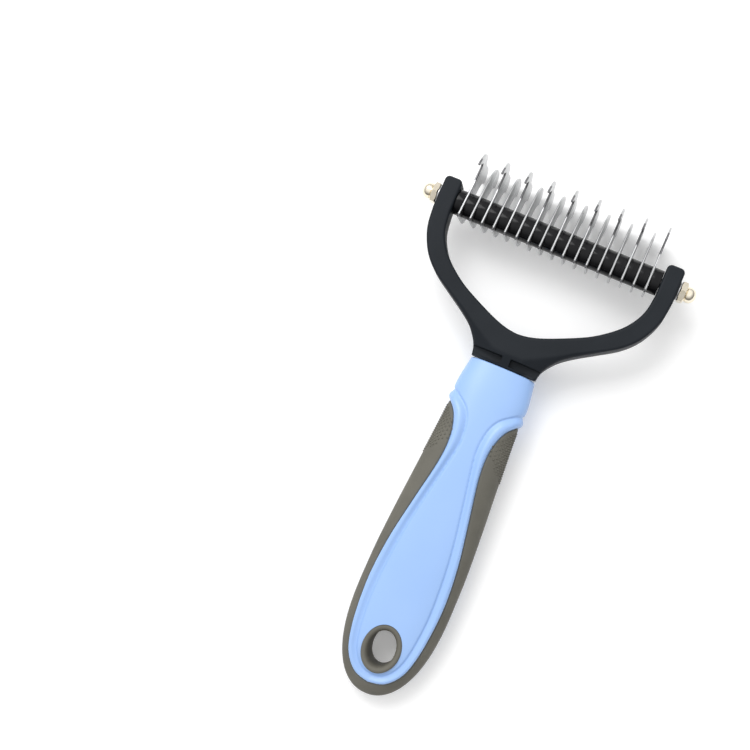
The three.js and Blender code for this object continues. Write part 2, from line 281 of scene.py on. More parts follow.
def lathe_x(name, profile, sides, material, radius=None):
    """A body turned about the rod's axis from (x, radius) pairs. radius(x, r, angle) may bend it."""
    verts = []
    for x, r in profile:
        for k in range(sides):
            a = 2 * math.pi * k / sides
            q = radius(x, r, a) if radius else r
            verts.append((x, q * math.cos(a), q * math.sin(a)))
    faces = grid_faces(len(profile), sides, closed=True)
    if profile[0][1] > 0.01 and profile[-1] != profile[0]:
        faces.append(tuple(range(sides)))
        faces.append(tuple((len(profile) - 1) * sides + k for k in range(sides)))
    return new_object(name, verts, faces, [material])


def rounded_box(name, x, y, z, radius):
    bm = bmesh.new()
    bmesh.ops.create_cube(bm, size=1)
    for v in bm.verts:
        v.co = Vector([lo + (c + 0.5) * (hi - lo) for c, (lo, hi) in zip(v.co, (x, y, z))])
    bmesh.ops.bevel(bm, geom=bm.edges[:], offset=radius, segments=3, affect="EDGES", profile=0.5)
    mesh = bpy.data.meshes.new(name)
    bm.to_mesh(mesh)
    bm.free()
    obj = bpy.data.objects.new(name, mesh)
    bpy.context.scene.collection.objects.link(obj)
    return obj


# ---------------------------------------------------------------- materials

class Nodes:
    """A material's node tree, with short ways to add and link nodes."""

    def __init__(self, name):
        self.material = bpy.data.materials.new(name)
        self.material.use_nodes = True
        self.tree = self.material.node_tree
        self.shader = self.tree.nodes["Principled BSDF"]
        self.coordinates = self.add("ShaderNodeTexCoord").outputs["Object"]

    def add(self, kind, **values):
        node = self.tree.nodes.new(kind)
        for key, value in values.items():
            if key in node.inputs:
                node.inputs[key].default_value = value
            else:
                setattr(node, key, value)
        return node

    def link(self, output, target):
        self.tree.links.new(output, target)

    def scaled(self, scale):
        mapping = self.add("ShaderNodeMapping")
        mapping.inputs["Scale"].default_value = scale
        self.link(self.coordinates, mapping.inputs["Vector"])
        return mapping.outputs["Vector"]

    def noise(self, scale, stretch=(1, 1, 1), detail=3.0, roughness=0.5):
        node = self.add("ShaderNodeTexNoise", Scale=scale, Detail=detail, Roughness=roughness)
        self.link(self.scaled(stretch), node.inputs["Vector"])
        return node.outputs["Fac"]

    def span(self, value, low, high, from_low=0.3, from_high=0.7):
        node = self.add("ShaderNodeMapRange")
        for key, number in (("From Min", from_low), ("From Max", from_high)):
            node.inputs[key].default_value = number
        for key, number in (("To Min", low), ("To Max", high)):
            node.inputs[key].default_value = number
        self.link(value, node.inputs["Value"])
        return node.outputs["Result"]

    def blend(self, value, first, second):
        ramp = self.add("ShaderNodeValToRGB")
        ramp.color_ramp.elements[0].position = 0.3
        ramp.color_ramp.elements[0].color = (*first, 1)
        ramp.color_ramp.elements[1].position = 0.7
        ramp.color_ramp.elements[1].color = (*second, 1)
        self.link(value, ramp.inputs["Fac"])
        return ramp.outputs["Color"]

    def bump(self, height, strength, distance, under=None):
        node = self.add("ShaderNodeBump", Strength=strength, Distance=distance)
        self.link(height, node.inputs["Height"])
        if under is not None:
            self.link(under, node.inputs["Normal"])
        return node.outputs["Normal"]

    def finish(self, colour, roughness, normal, **constants):
        self.link(colour, self.shader.inputs["Base Color"])
        self.link(roughness, self.shader.inputs["Roughness"])
        self.link(normal, self.shader.inputs["Normal"])
        for key, value in constants.items():
            self.shader.inputs[key.replace("_", " ")].default_value = value
        return self.material


def fork_plastic():
    n = Nodes("fork_plastic")
    grain = n.noise(2600, detail=2)
    cloud = n.noise(60)
    colour = n.blend(cloud, (0.0120, 0.0150, 0.0190), (0.0160, 0.0195, 0.0245))
    normal = n.bump(grain, 0.35, 0.00006)
    return n.finish(colour, n.span(grain, 0.42, 0.56), normal, Specular_IOR_Level=0.14)


def spacer_plastic():
    n = Nodes("spacer_plastic")
    turned = n.noise(90, (8, 1, 1), detail=4)
    colour = n.blend(turned, (0.0035, 0.0035, 0.0045), (0.007, 0.007, 0.008))
    normal = n.bump(turned, 0.2, 0.00004)
    return n.finish(colour, n.span(turned, 0.10, 0.2), normal, Specular_IOR_Level=0.2)


def blade_steel():
    n = Nodes("blade_steel")
    brushed = n.noise(420, (1, 0.06, 1), detail=4)
    cloud = n.noise(45)
    colour = n.blend(cloud, (0.50, 0.505, 0.51), (0.60, 0.605, 0.61))
    normal = n.bump(brushed, 0.2, 0.00003)
    return n.finish(colour, n.span(brushed, 0.24, 0.42), normal, Metallic=1.0)


# Darker steel for the bevels inside the hooks and for the foot's edge. Its darkness is partly the
# bevels' ground finish and partly painted shade: the shade in the hooks, and on the foot's edge that
# faces away from the light.
def ground_steel_and_painted_shade():
    n = Nodes("ground_steel_and_painted_shade")
    strokes = n.noise(700, (1, 1, 0.1), detail=3)
    colour = n.blend(strokes, (0.13, 0.13, 0.135), (0.24, 0.24, 0.25))
    normal = n.bump(strokes, 0.3, 0.00004)
    return n.finish(colour, n.span(strokes, 0.25, 0.4), normal, Metallic=1.0)


def rod_steel():
    n = Nodes("rod_steel")
    fine = n.noise(900, (1, 0.2, 0.2), detail=3)
    colour = n.blend(fine, (0.48, 0.48, 0.49), (0.58, 0.58, 0.59))
    return n.finish(colour, n.span(fine, 0.22, 0.36), n.bump(fine, 0.2, 0.00003), Metallic=1.0)


def nut_metal():
    n = Nodes("nut_metal")
    fine = n.noise(500, detail=4)
    colour = n.blend(fine, (0.84, 0.76, 0.60), (0.90, 0.83, 0.70))
    return n.finish(colour, n.span(fine, 0.08, 0.17), n.bump(fine, 0.15, 0.00003), Metallic=1.0)


def handle_plastic():
    n = Nodes("handle_plastic")
    cloud = n.noise(35)
    grain = n.noise(1500, detail=2)
    colour = n.blend(cloud, (0.315, 0.50, 0.86), (0.335, 0.52, 0.88))
    normal = n.bump(grain, 0.12, 0.00003)
    return n.finish(colour, n.span(grain, 0.30, 0.40), normal, Coat_Weight=0.12, Coat_Roughness=0.25)


def grip_rubber():
    n = Nodes("grip_rubber")
    cloud = n.noise(70)
    grain = n.noise(2200, detail=3, roughness=0.65)
    speck = n.noise(800, detail=2)
    colour = n.blend(cloud, (0.119, 0.114, 0.095), (0.147, 0.141, 0.117))
    normal = n.bump(speck, 0.25, 0.00008, n.bump(grain, 0.4, 0.00006))
    return n.finish(colour, n.span(grain, 0.58, 0.78), normal, Specular_IOR_Level=0.4)


def floor_paint():
    n = Nodes("floor_paint")
    cloud = n.noise(6)
    colour = n.blend(cloud, (0.90, 0.90, 0.90), (0.92, 0.92, 0.92))
    normal = n.bump(cloud, 0.02, 0.0001)
    return n.finish(colour, n.span(cloud, 0.7, 0.8), normal, Emission_Strength=FLOOR_GLOW)


# ---------------------------------------------------------------- blades

# Each outline point is (towards the tips, towards the front, width of the edge's bevel there).
# A bevel of FINE is only a broken edge. One wider than the ground-edge width takes darker steel: on the
# bevels inside the hooks that darkness is partly the ground finish and partly painted shade, and at the
# foot it is only painted shade.


def spur_and_foot():
    spur = [(-2.4, -12.6, FINE), (-4.5, -11.2, FINE), (-5.6, -8.2, FINE)]
    # The foot's last points get a bevel just wide enough for the darker steel, which paints shade on the
    # foot's edge where it faces away from the light.
    foot = [(-6.5, 5.3, FINE), (-6.4, 6.1, 0.25), (-6.0, 6.6, 0.25), (-5.3, 6.8, 0.25)]
    return [*smooth(spur, 8), *foot, (5.1, 3.8, FINE)]


def plain_front():
    shank = [(8.5, 2.5, FINE), (12.0, 0.9, FINE), (14.8, -0.7, FINE)]
    return list(smooth([*shank, (17.2, -3.2, FINE), (18.8, -6.8, FINE), (19.5, -9.8, FINE)], 30))


def front_claw():
    shank = [(8.5, 3.1, FINE), (9.6, 2.9, 0.3), (12.0, 2.5, 0.5), (15.4, 1.9, 0.5)]
    barb = [(16.4, 2.5, 0.4), (15.1, 5.5, 0.3), (13.9, 8.3, 0.3), (13.8, 8.8, 0.3), (14.1, 9.2, 0.3)]
    outside = [(15.0, 9.2, 0.3), (17.0, 7.6, 0.25), (18.6, 6.2, 0.2)]
    tip = [(19.5, 5.2, 0.2), (20.4, 2.8, FINE), (LONG_TIP_Y, 0.2, FINE), (20.2, -2.6, FINE)]
    valley = [(18.8, -5.2, FINE), (19.2, -8.6, FINE)]
    return [*shank, *barb, *outside, *smooth(tip, 18), *valley]


def back_claw():
    crown = [(19.6, -11.6, FINE), (19.5, -14.0, FINE), (18.6, -16.2, FINE), (17.2, -17.5, FINE)]
    hook = [(15.6, CLAW_BACK_Z, 0.3), (14.3, -17.6, 0.5), (13.9, -16.4, 0.5)]
    throat = [(13.0, -14.2, 0.5), (11.3, -12.0, 0.3)]
    hollow = [*throat, (8.4, -10.3, FINE), (4.6, -9.9, FINE), (1.2, -10.8, FINE)]
    return [*smooth(crown, 14), *smooth(hook, 8), *smooth(hollow, 24)]


def blade(name, x, half_thick, is_long, steel, ground_and_shade):
    """A plate across the rod, with a broken edge all round and sharpened bevels inside its hooks; these
    bevels and the foot's edge take darker steel, which paints the shade there.
    """
    outline = np.array([*spur_and_foot(), *(front_claw() if is_long else plain_front()), *back_claw()])
    flat, bevel = outline[:, :2], outline[:, 2]
    count = len(flat)
    way = np.roll(flat, -1, 0) - np.roll(flat, 1, 0)
    inward = np.stack([way[:, 1], -way[:, 0]], 1) / np.linalg.norm(way, axis=1)[:, None]
    inset = flat + inward * bevel[:, None]
    ground_half = np.clip(half_thick - bevel * BEVEL_SLOPE, KEEN_EDGE, half_thick)
    edge = np.where(bevel > GROUND_AND_SHADE_EDGE, ground_half, half_thick - FINE)
    hole = arc(BORE_RADIUS, 0, 360 - 15, 23)
    bm = bmesh.new()

    def ring(points, offsets):
        return [bm.verts.new((x + o, p[0], p[1])) for p, o in zip(points, offsets)]

    faces = [ring(inset, [side * half_thick] * count) for side in (1, -1)]
    edges = [ring(flat, side * edge) for side in (1, -1)]
    holes = [ring(hole, [side * half_thick] * len(hole)) for side in (1, -1)]
    strips = [(faces[0], edges[0]), (edges[0], edges[1]), (edges[1], faces[1]), (holes[0], holes[1])]
    for first, second in strips:
        size = len(first)
        for i in range(size):
            j = (i + 1) % size
            face = bm.faces.new((first[i], first[j], second[j], second[i]))
            # Wide-bevel faces take the darker steel: painted shade in the hooks and on the foot's edge,
            # plus the ground finish on the hook bevels
            is_ground_and_shade = size == count and min(bevel[i], bevel[j]) > GROUND_AND_SHADE_EDGE
            face.material_index = 1 if is_ground_and_shade else 0
    for outer, inner in zip(faces, holes):
        loops = [zip(loop, loop[1:] + loop[:1]) for loop in (outer, inner)]
        rim = [bm.edges.get(ends) for loop in loops for ends in loop]
        bmesh.ops.triangle_fill(bm, use_beauty=True, edges=rim)
    bmesh.ops.recalc_face_normals(bm, faces=bm.faces)
    mesh = bpy.data.meshes.new(name)
    bm.to_mesh(mesh)
    bm.free()
    mesh.materials.append(steel)
    mesh.materials.append(ground_and_shade)
    obj = bpy.data.objects.new(name, mesh)
    bpy.context.scene.collection.objects.link(obj)
    return obj


def make_blades(steel, ground_and_shade):
    for node in sorted(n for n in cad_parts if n.startswith("blade_")):
        low, high = limits(node)
        is_long = node.startswith("blade_long")
        x, half_thick = (low[0] + high[0]) / 2, (high[0] - low[0]) / 2
        obj = blade(f"{node}_ground", x, half_thick, is_long, steel, ground_and_shade)
        finish_piece(obj, "blade_pack", [node], sharp=20)


# ---------------------------------------------------------------- rod and its small parts

def make_spacers(plastic):
    corner = 0.3
    for node in sorted(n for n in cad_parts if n.startswith("spacer_")):
        low, high = limits(node)
        end = arc(corner, 180, 90, 5, (low[0] + corner, SPACER_RADIUS - corner))
        other = arc(corner, 90, 0, 5, (high[0] - corner, SPACER_RADIUS - corner))
        bore = [(high[0], BORE_RADIUS), (low[0], BORE_RADIUS)]
        profile = [*map(tuple, end), *map(tuple, other), *bore]
        profile.append(profile[0])
        obj = lathe_x(f"{node}_tube", profile, 72, plastic)
        finish_piece(obj, "blade_pack", [node])


def make_rod(steel):
    half = limits("threaded_rod")[1][0]
    thread_start = ARM_OUTER_X - 1.5
    thread_depth = 0.28

    def radius(x, r, angle):
        if abs(x) < thread_start:
            return r
        turn = (abs(x) / THREAD_PITCH - math.copysign(angle, x) / (2 * math.pi)) % 1
        return r - thread_depth * (1 - abs(2 * turn - 1))

    end = list(np.arange(thread_start, half - 0.4, THREAD_PITCH / 6))
    xs = [-x for x in reversed(end)] + end
    profile = [(-half, ROD_RADIUS - 0.5), *[(x, ROD_RADIUS) for x in xs], (half, ROD_RADIUS - 0.5)]
    obj = lathe_x("rod_with_thread", profile, 36, steel, radius)
    finish_piece(obj, "blade_pack", ["threaded_rod"], sharp=50)


def make_washers(steel):
    corner = 0.12
    for side in ("left", "right"):
        node = f"washer_{side}"
        low, high = limits(node)
        a = arc(corner, 180, 90, 3, (low[0] + corner, WASHER_RADIUS - corner))
        b = arc(corner, 90, 0, 3, (high[0] - corner, WASHER_RADIUS - corner))
        profile = [*map(tuple, a), *map(tuple, b), (high[0], BORE_RADIUS), (low[0], BORE_RADIUS)]
        profile.append(profile[0])
        obj = lathe_x(f"washer_disc_{side}", profile, 64, steel)
        finish_piece(obj, node, [node])


def nut_profile(length):
    """The nut from its bore over the hexagon, the groove, the neck and the dome: (height, radius)."""
    flat = NUT_ACROSS_FLATS / 2
    corner = NUT_ACROSS_FLATS / math.sqrt(3)
    neck, groove, dome_start = 3.05, 2.7, NUT_HEX_HEIGHT + 1.3
    bore = [(4.0, 0.0), (4.0, BORE_RADIUS), (0.0, BORE_RADIUS), (0.0, flat - NUT_BASE_CHAMFER)]
    top = NUT_HEX_HEIGHT
    hexagon = [(h, corner) for h in (0.12, 0.3, 0.5, 0.8, 1.3, 1.8, 2.0, 2.15, 2.3, 2.42)]
    shoulder = [(top, flat - NUT_TOP_CHAMFER), (top, groove + 0.1), (top + 0.12, groove)]
    rise = [(top + 0.3, groove + 0.08), (top + 0.42, neck - 0.03), (dome_start, neck)]
    turn = np.radians(np.linspace(6, 90, 13))
    dome = [(dome_start + (length - dome_start) * math.sin(a), neck * math.cos(a)) for a in turn]
    dome[-1] = (length, 0.0)
    return [*bore, *hexagon, *shoulder, *rise, *dome]


def make_nuts(metal):
    slope = math.tan(math.radians(60))  # how steeply the hexagon's corners are turned down
    flat = NUT_ACROSS_FLATS / 2
    for side, sign in (("left", -1), ("right", 1)):
        node = f"cap_nut_{side}"
        low, high = limits(node)
        base = high[0] if sign < 0 else low[0]

        def radius(x, r, angle):
            height = abs(x - base)
            if r <= flat or height > NUT_HEX_HEIGHT:
                return r
            turned = (angle + math.pi / 6) % (math.pi / 3) - math.pi / 6
            above = flat - NUT_TOP_CHAMFER + (NUT_HEX_HEIGHT - height) * slope
            below = flat - NUT_BASE_CHAMFER + height * slope
            return min(flat / math.cos(turned), above, below)

        profile = [(base + sign * h, r) for h, r in nut_profile(high[0] - low[0])]
        obj = lathe_x(f"dome_nut_{side}", profile, 96, metal, radius)
        clean(obj.data, 1e-3)
        finish_piece(obj, f"nut_{side}", [node], sharp=25)


# ---------------------------------------------------------------- fork

def fork_edges():
    """The right half's inner and outer edges, both from the neck upwards."""
    crotch = [(0, -38.1), (4.6, -37.5), (11, -35.4), (21.8, -30.5), (28.2, -26.7)]
    bend = [(34.2, -21.7), (37.8, -17), (40, -12), (ARM_INNER_X, -5)]
    inner = smooth([*crotch, *bend], 150)
    neck = [(NECK_HALF_WIDTH, NECK_END_Y), (13.5, -47.9), (15.4, -44.6), (18.6, -41), (23.6, -37.3)]
    arm = [(30.6, -32.8), (36.9, -28.6), (41.6, -24), (44.8, -18.8), (46.9, -13), (ARM_OUTER_X, -6)]
    outer = smooth([*neck, *arm], 150)
    return inner, outer


def fork_stations():
    """Pairs of points across the right half of the fork: the first on its inner edge."""
    inner, outer = fork_edges()
    bottom = np.stack([np.linspace(0, NECK_HALF_WIDTH, NECK_ROWS), np.full(NECK_ROWS, NECK_END_Y)], 1)
    split = int(np.argmin(abs(inner[:, 0] - 9)))
    fan = np.interp(np.linspace(0, split, NECK_ROWS), range(split + 1), inner[: split + 1, 0])
    fan_y = np.interp(fan, inner[: split + 1, 0], inner[: split + 1, 1])
    pairs = list(zip(np.stack([fan, fan_y], 1), bottom))
    high_inner = inner[split:]
    for share in np.linspace(0, 1, 190)[1:]:
        i = share * (len(high_inner) - 1)
        o = share * (len(outer) - 1)
        a = [np.interp(i, range(len(high_inner)), high_inner[:, k]) for k in (0, 1)]
        b = [np.interp(o, range(len(outer)), outer[:, k]) for k in (0, 1)]
        pairs.append((np.array(a), np.array(b)))
    corner_y = ARM_TOP_Y - ARM_CORNER
    for y in np.linspace(-5, corner_y, 26)[1:]:
        pairs.append((np.array([ARM_INNER_X, y]), np.array([ARM_OUTER_X, y])))
    for a in np.radians(np.linspace(0, 90, 12)[1:]):
        y = corner_y + ARM_CORNER * math.sin(a)
        pull = ARM_CORNER * (1 - math.cos(a))
        pairs.append((np.array([ARM_INNER_X + pull, y]), np.array([ARM_OUTER_X - pull, y])))
    return pairs


def fork_height(xy, border):
    """The fork's half thickness: rounded borders, and flanks that fall away below the Y's ridge."""
    d = np.minimum(distance_to(border, xy), FORK_ROUND)
    rounding = np.sqrt(np.maximum(FORK_ROUND**2 - (FORK_ROUND - d) ** 2, 0))
    height = FORK_HALF_THICK - FORK_ROUND + rounding
    ridge = [(0, -46.4), (5.9, -46.2), (9.8, -44.2), (14.9, -41.2), (18.2, -39.2)]
    ridge += [(22.8, -36.1), (31, -31.7)]
    ridge_y = np.interp(xy[:, 0], [p[0] for p in ridge], [p[1] for p in ridge])
    below = np.clip(ridge_y - xy[:, 1], 0, FLANK_REACH)
    flank = FLANK_SLOPE * (np.sqrt(below**2 + RIDGE_ROUND**2) - RIDGE_ROUND)
    return height - flank


def fork_half_grid():
    """The right half's face as a grid: its size, its points seen from the front, and their heights."""
    pairs = fork_stations()
    near = np.array([0, 0.06, 0.18, 0.34, 0.53, 0.72, FORK_ROUND])
    inside = np.linspace(0, 1, 22)[1:-1]
    rows = []
    for a, b in pairs:
        length = np.linalg.norm(b - a)
        offsets = near * min(1, 0.47 * length / FORK_ROUND) / length
        between = offsets[-1] + (1 - 2 * offsets[-1]) * inside
        shares = np.concatenate([offsets, between, 1 - offsets[::-1]])
        rows.append(a + shares[:, None] * (b - a))
    grid = np.array(rows)
    top_row = grid[-1]
    inner, outer = [p[0] for p in pairs], [p[1] for p in pairs[:NECK_ROWS - 2:-1]]
    border = np.vstack([inner, top_row[1:-1], outer])
    flat = grid.reshape(-1, 2)
    return grid.shape[:2], flat, fork_height(flat, border)


def make_fork(plastic):
    (rows, columns), flat, height = fork_half_grid()
    count = len(flat)
    verts, faces = [], []
    for mirror in (1, -1):
        first = len(verts)
        for face in (1, -1):
            verts += [(mirror * x, y, face * z) for (x, y), z in zip(flat, height)]
            faces += grid_faces(rows, columns, first=first + (0 if face > 0 else count))
        inner = [r * columns for r in range(rows)]
        top = [(rows - 1) * columns + c for c in range(columns)]
        outer = [r * columns + columns - 1 for r in range(rows)]
        for line in (inner, top, outer):
            for i, j in zip(line[:-1], line[1:]):
                faces.append((first + i, first + j, first + count + j, first + count + i))
    body = new_object("fork_body", verts, faces, [plastic])
    slots = []
    for side in (-1, 1):
        for face in (-1, 1):
            x = sorted(side * v for v in SLOT_X)
            z = sorted((face * SLOT_FLOOR_Z, face * (FORK_HALF_THICK + 3)))
            slots.append(rounded_box("slot", x, SLOT_Y, z, SLOT_CORNER))
    past_arm = ARM_OUTER_X + 12
    bore = lathe_x("bore", [(-past_arm, BORE_RADIUS), (past_arm, BORE_RADIUS)], 48, plastic)
    cut(body, *slots, bore)
    # The tang stops just short of the neck, so the two bodies don't share a face
    tang_y = (TANG_END_Y, NECK_END_Y - 0.01)
    tang = rounded_box("tang", (-TANG_HALF_WIDTH, TANG_HALF_WIDTH), tang_y, TANG_Z, 0.5)
    fork = join("fork_moulding", body, tang)
    finish_piece(fork, "handle", ["fork"], sharp=40)


# ---------------------------------------------------------------- handle

# Half widths and half thicknesses along the handle, as (y, size)
WIDTH_ALONG = [(COLLAR_TOP_Y, 12.7), (-62, 14.2), (-70, 13.9), (-86, 14.9), (-111, 16.8)]
WIDTH_ALONG += [(-128, 17.8), (BUTT_START_Y, HANDLE_HALF_WIDTH)]
THICK_ALONG = [(COLLAR_TOP_Y, 5.9), (-66, 6.7), (-90, 7.5), (-118, 7.95)]
THICK_ALONG += [(BUTT_START_Y, HANDLE_HALF_THICK)]


def half_sizes(y):
    """The handle's half width and half thickness at a place along it."""
    if y >= BUTT_START_Y:
        return along(WIDTH_ALONG, y), along(THICK_ALONG, y)
    share = min((BUTT_START_Y - y) / (BUTT_START_Y - BUTT_Y), 1.0)
    width = HANDLE_HALF_WIDTH * (1 - share**2.6) ** 0.476
    thick = HANDLE_HALF_THICK * (1 - share**4) ** 0.5
    return width, thick


def section_point(y, angle, sizes):
    """Points round the handle's section, a rounded oblong that is flatter than an ellipse."""
    c, s = np.cos(angle), np.sin(angle)
    x = np.sign(c) * np.abs(c) ** (2 / SECTION_POWER) * sizes[0]
    z = np.sign(s) * np.abs(s) ** (2 / SECTION_POWER) * sizes[1]
    return np.stack([x, np.full_like(x, y), z + HANDLE_MID_Z], -1)


def butt_rows(start, steps):
    """Places along the butt, closer together towards its end."""
    first = math.asin((BUTT_START_Y - start) / (BUTT_START_Y - BUTT_Y))
    shares = np.sin(np.linspace(first, math.pi / 2, steps + 1)[1:])
    return [BUTT_START_Y - (BUTT_START_Y - BUTT_Y) * s for s in shares]


def grid_normals(grid, closed):
    """Outward normals of a grid whose rows run towards the butt and columns round the section."""
    if closed:
        around = np.roll(grid, -1, 1) - np.roll(grid, 1, 1)
    else:
        around = np.gradient(grid, axis=1)
    down = np.gradient(grid, axis=0)
    normal = np.cross(around, down)
    size = np.linalg.norm(normal, axis=2, keepdims=True)
    normal = np.where(size > 1e-9, normal / np.maximum(size, 1e-9), [0.0, -1.0, 0.0])
    outward = grid - [0, 0, HANDLE_MID_Z]
    flip = np.sign((normal * outward * [1, 0, 1]).sum(2).mean())
    return normal * (flip if flip else 1)


def panel_edge():
    """The edge between the panel and the grip, from the handle's side down to the butt."""
    flare = [(14.1, -69.4), (13.7, -69.8), (10.1, -74.2), (7.9, -81.8), (8.1, -92), (11.2, -109)]
    belly = [(13.8, -124), (15, -138), (14.6, -150), (13.2, -160.5), (10.7, -168.2)]
    return smooth([*flare, *belly, (6, -173.4), (0, PANEL_END_Y)], EDGE_STEPS)


def bead_inner_edge():
    """The inner side of the raised bead that follows the panel's edge."""
    start = [(15.4, -65.6), (13.9, -66.2), (11.4, -67.7)]
    flare = [(7.1, -71.4), (4.9, -76.6), (4.4, -84), (5.8, -92.8)]
    belly = [(8.3, -106), (10.6, -119.6), (12.0, -133.2), (12.4, -147.4), (11.0, -160.8), (8.5, -167.8)]
    return smooth([*start, *flare, *belly, (4.4, -171.9), (0, -173.0)], EDGE_STEPS)


def inside_of(line, xy):
    """True where a point is nearer to the middle of the handle than a line, or above its start."""
    order = np.argsort(line[:, 1])
    edge_x = np.interp(xy[:, 1], line[order, 1], line[order, 0])
    return (xy[:, 1] > line[0, 1]) | ((xy[:, 0] < edge_x) & (xy[:, 1] > line[-1, 1]))


def core_relief(xy):
    """How far the core's surface stands out: the bead, its groove, and the step under the grip."""
    edge = np.vstack([[(16.4, -69.2)], panel_edge()])
    bead = bead_inner_edge()
    to_edge = distance_to(edge, xy) * np.where(inside_of(edge, xy), 1, -1)
    to_bead = distance_to(bead, xy) * np.where(inside_of(bead, xy), -1, 1)
    across = np.clip(to_bead / np.maximum(to_bead + to_edge, 1e-6), 0, 1)
    on_bead = (to_bead > 0) & (to_edge > 0)
    relief = np.where(on_bead, BEAD_HEIGHT * (1 - (2 * across - 1) ** 2), 0.0)
    in_groove = (to_bead <= 0) & (to_bead > -GROOVE_WIDTH)
    relief -= np.where(in_groove, GROOVE_DEPTH * np.sin(math.pi * to_bead / GROOVE_WIDTH) ** 2, 0.0)
    relief -= np.where(on_bead, EDGE_DROP * ease(1 - to_edge / EDGE_DROP), 0.0)
    under_grip = -np.minimum(EDGE_DROP - to_edge, SKIN + 0.1)
    return np.where(to_edge <= 0, under_grip, relief)


def make_core(plastic):
    columns = 264
    body_rows = list(np.linspace(COLLAR_TOP_Y, BUTT_START_Y, 252))
    ys = [*body_rows, *butt_rows(BUTT_START_Y, 104)]
    angles = 2 * math.pi * np.arange(columns) / columns
    grid = np.array([section_point(y, angles, half_sizes(y)) for y in ys])
    normals = grid_normals(grid, closed=True)
    flat = grid.reshape(-1, 3)
    xy = np.stack([np.abs(flat[:, 0]), flat[:, 1]], 1)
    relief = core_relief(xy)
    lip = 0.5
    to_top = COLLAR_TOP_Y - xy[:, 1]
    rounding = lip - np.sqrt(np.maximum(lip**2 - np.clip(lip - to_top, 0, lip) ** 2, 0))
    moved = flat + normals.reshape(-1, 3) * (relief - rounding)[:, None]
    moved[:, 1] = np.clip(moved[:, 1], BUTT_Y + SKIN + 0.2, COLLAR_TOP_Y)
    faces = grid_faces(len(ys), columns, closed=True)
    faces.append(tuple(range(columns)))
    core = new_object("core_body", moved, faces, [plastic])
    hole_half = [h + RING_WALL - 0.05 for h in HOLE_HALF]
    verts = [(hole_half[0] * math.cos(a), HOLE_Y + hole_half[1] * math.sin(a), z)
             for z in (HANDLE_MID_Z - 12, HANDLE_MID_Z + 12) for a in 2 * math.pi * np.arange(96) / 96]
    hole_faces = [*grid_faces(2, 96, closed=True), tuple(range(96)), tuple(range(96, 192))]
    hole = new_object("hole", verts, hole_faces)
    spare = 0.3
    half = TANG_HALF_WIDTH + spare
    tang_z = (TANG_Z[0] - spare, TANG_Z[1] + spare)
    pocket = rounded_box("pocket", (-half, half), (TANG_END_Y - spare, COLLAR_TOP_Y + 2), tang_z, 0.4)
    cut(core, hole, pocket)
    core.name = "handle_panel_and_collar"
    finish_piece(core, "handle", ["handle_core"], sharp=50)


def grip_rows():
    """(y, the angle at which the grip's edge crosses the section) from the top of a side to the butt."""
    rows = []
    for x, y in panel_edge()[:-1]:
        width, _ = half_sizes(y)
        share = min(x / width, 1.0)
        rows.append((y, math.acos(share ** (SECTION_POWER / 2))))
    rows.append((PANEL_END_Y, math.pi / 2))
    rows += [(y, math.pi / 2) for y in butt_rows(PANEL_END_Y, 26)]
    return rows


def grip_side(side):
    """One side's outer and inner surfaces, with edges that round down to the panel."""
    rows = grip_rows()
    columns = 56
    share = (1 - np.cos(np.linspace(0, math.pi, columns))) / 2
    grid = []
    for y, edge_angle in rows:
        angles = edge_angle * (1 - 2 * share)
        grid.append(section_point(y, angles, half_sizes(y)) * [side, 1, 1])
    grid = np.array(grid)
    normals = grid_normals(grid, closed=False)
    edge = panel_edge()
    flat = grid.reshape(-1, 3)
    xy = np.stack([np.abs(flat[:, 0]), flat[:, 1]], 1)
    short = np.clip(GRIP_ROUND - distance_to(edge, xy), 0, GRIP_ROUND)
    drop = GRIP_ROUND - np.sqrt(np.maximum(GRIP_ROUND**2 - short**2, 0))
    outer = flat - normals.reshape(-1, 3) * drop[:, None]
    inner = flat - normals.reshape(-1, 3) * SKIN
    outer[:, 1] = np.maximum(outer[:, 1], BUTT_Y)
    inner[:, 1] = np.maximum(inner[:, 1], BUTT_Y + SKIN)
    return grid.shape[:2], outer, inner


def stipple(side, material):
    """Small domes that roughen the upper end of a side for the thumb and finger."""
    domes = []
    power = SECTION_POWER - 1
    for row in range(24):
        y = STIPPLE_TOP_Y - row * STIPPLE_PITCH * math.sqrt(3) / 2
        width, thick = half_sizes(y)
        reach = STIPPLE_HALF[1] * math.sqrt(max(0.0, 1 - ((y - STIPPLE_MID_Y) / STIPPLE_HALF[0]) ** 2))
        for column in range(-8, 9):
            z = (column + 0.5 * (row % 2)) * STIPPLE_PITCH
            if abs(z) > reach:
                continue
            x = width * (1 - (abs(z) / thick) ** SECTION_POWER) ** (1 / SECTION_POWER)
            out_x = side * (x / width) ** power / width
            out_z = np.sign(z) * (abs(z) / thick) ** power / thick
            place = Vector((side * x, y, z + HANDLE_MID_Z))
            domes.append((place, Vector((out_x, 0, out_z)).normalized()))
    bm = bmesh.new()
    for place, normal in domes:
        turn = normal.to_track_quat("Z", "Y").to_matrix().to_4x4()
        shape = Matrix.Translation(place) @ turn @ Matrix.Diagonal(STIPPLE_DOME)
        bmesh.ops.create_uvsphere(bm, u_segments=10, v_segments=6, radius=1, matrix=shape)
    mesh = bpy.data.meshes.new("stipple")
    bm.to_mesh(mesh)
    bm.free()
    mesh.materials.append(material)
    obj = bpy.data.objects.new("stipple", mesh)
    bpy.context.scene.collection.objects.link(obj)
    return obj


